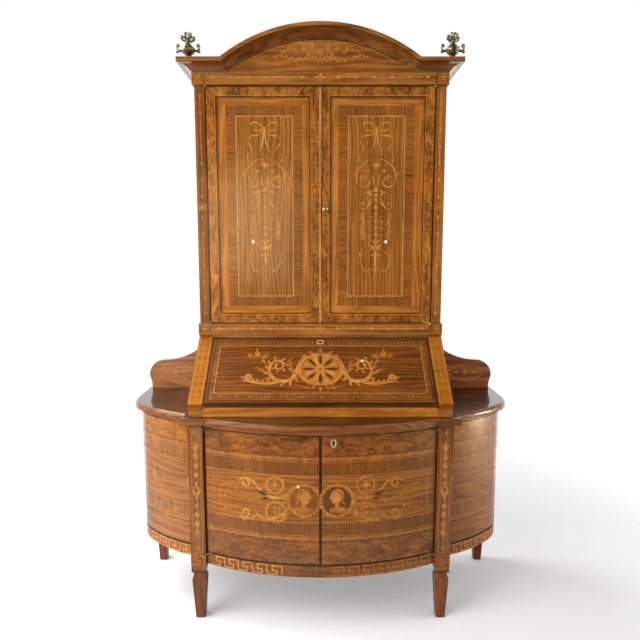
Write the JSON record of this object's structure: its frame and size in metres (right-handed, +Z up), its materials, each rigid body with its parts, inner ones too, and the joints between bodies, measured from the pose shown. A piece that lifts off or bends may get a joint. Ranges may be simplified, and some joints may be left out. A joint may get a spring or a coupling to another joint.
{
  "type": "escritoire",
  "caption": "Escritoire: bookcase with an arched cornice and panelled doors above a slant-front bureau, on a bow-fronted cupboard base with curved ends and tapered legs.",
  "frame": {"origin": "centre of the plan, on the floor", "axes": "+X to the right seen from the front, -Y towards the user at the front, +Z up"},
  "size_m": [1.492, 0.559, 2.182],
  "materials": {
    "walnut": "polished veneer",
    "amber_walnut": "polished veneer",
    "plain_wood": "plain",
    "dark_walnut": "high polish",
    "brass": "aged"
  },
  "bodies": {
    "carcass": {"left_pilaster": "walnut", "right_pilaster": "walnut", "back_legs": "walnut", "plinth_bands": "walnut", "base_top_rails": "walnut", "base_side_panels": "walnut", "scrolled_wings": "walnut", "bureau_sides": "walnut", "bookcase_sides": "walnut", "writing_board": "walnut", "left_slant_stile": "amber_walnut", "right_slant_stile": "amber_walnut", "stile_blocks": "amber_walnut", "front_rail": "amber_walnut", "fall_stop_rail": "amber_walnut", "waist_band": "amber_walnut", "bookcase_strips": "amber_walnut", "frieze": "amber_walnut", "left_cornice": "amber_walnut", "right_cornice": "amber_walnut", "arch_moulding": "amber_walnut", "tympanum": "amber_walnut", "base_bottom": "plain_wood", "base_back": "plain_wood", "base_partitions": "plain_wood", "centre_shelf": "plain_wood", "side_shelves": "plain_wood", "bureau_back": "plain_wood", "bookcase_back": "plain_wood", "bookcase_shelves": "plain_wood", "shelf_battens": "plain_wood", "drawer_dividers": "plain_wood", "nest_shelf": "plain_wood", "pigeonhole_walls": "plain_wood", "bookcase_floor": "plain_wood", "bookcase_roof": "plain_wood", "base_top": "dark_walnut", "finials": "brass", "fixed_leaves": "brass"},
    "left_bookcase_door": {"left_door_frame": "amber_walnut", "left_door_panel": "walnut", "left_door_leaves": "brass", "meeting_bead": "amber_walnut"},
    "right_bookcase_door": {"right_door_frame": "amber_walnut", "right_door_panel": "walnut", "right_door_fittings": "brass"},
    "fall": {"fall_board": "walnut", "fall_fittings": "brass"},
    "left_base_door": {"left_centre_door": "walnut", "left_centre_leaves": "brass"},
    "right_base_door": {"right_centre_door": "walnut", "right_centre_fittings": "brass"},
    "left_end_door": {"left_side_door": "walnut", "left_side_fittings": "brass"},
    "right_end_door": {"right_side_door": "walnut", "right_side_fittings": "brass"},
    "left_tray": {"left_drawer": "amber_walnut"},
    "middle_tray": {"middle_drawer": "amber_walnut"},
    "right_tray": {"right_drawer": "amber_walnut"}
  },
  "joints": [
    {"name": "left_bookcase_hinge", "type": "hinge", "parent": "carcass", "child": "left_bookcase_door", "pos_m": [-0.426, 0.0505, 1.5325], "axis": [0, 0, -1], "range_deg": [0, 105]},
    {"name": "right_bookcase_hinge", "type": "hinge", "parent": "carcass", "child": "right_bookcase_door", "pos_m": [0.426, 0.0505, 1.5325], "axis": [0, 0, 1], "range_deg": [0, 105]},
    {"name": "fall_hinge", "type": "hinge", "parent": "carcass", "child": "fall", "pos_m": [0, -0.1665, 0.815], "axis": [1, 0, 0], "range_deg": [0, 139]},
    {"name": "left_base_hinge", "type": "hinge", "parent": "carcass", "child": "left_base_door", "pos_m": [-0.422, -0.17684, 0.502], "axis": [0, 0, -1], "range_deg": [0, 100]},
    {"name": "right_base_hinge", "type": "hinge", "parent": "carcass", "child": "right_base_door", "pos_m": [0.422, -0.17684, 0.502], "axis": [0, 0, 1], "range_deg": [0, 100]},
    {"name": "left_end_hinge", "type": "hinge", "parent": "carcass", "child": "left_end_door", "pos_m": [-0.727, 0.1205, 0.502], "axis": [0, 0, -1], "range_deg": [0, 100]},
    {"name": "right_end_hinge", "type": "hinge", "parent": "carcass", "child": "right_end_door", "pos_m": [0.727, 0.1205, 0.502], "axis": [0, 0, 1], "range_deg": [0, 100]},
    {"name": "left_tray_slide", "type": "slide", "parent": "carcass", "child": "left_tray", "axis": [0, -1, 0], "range_m": [0, 0.13]},
    {"name": "middle_tray_slide", "type": "slide", "parent": "carcass", "child": "middle_tray", "axis": [0, -1, 0], "range_m": [0, 0.13]},
    {"name": "right_tray_slide", "type": "slide", "parent": "carcass", "child": "right_tray", "axis": [0, -1, 0], "range_m": [0, 0.13]}
  ]
}
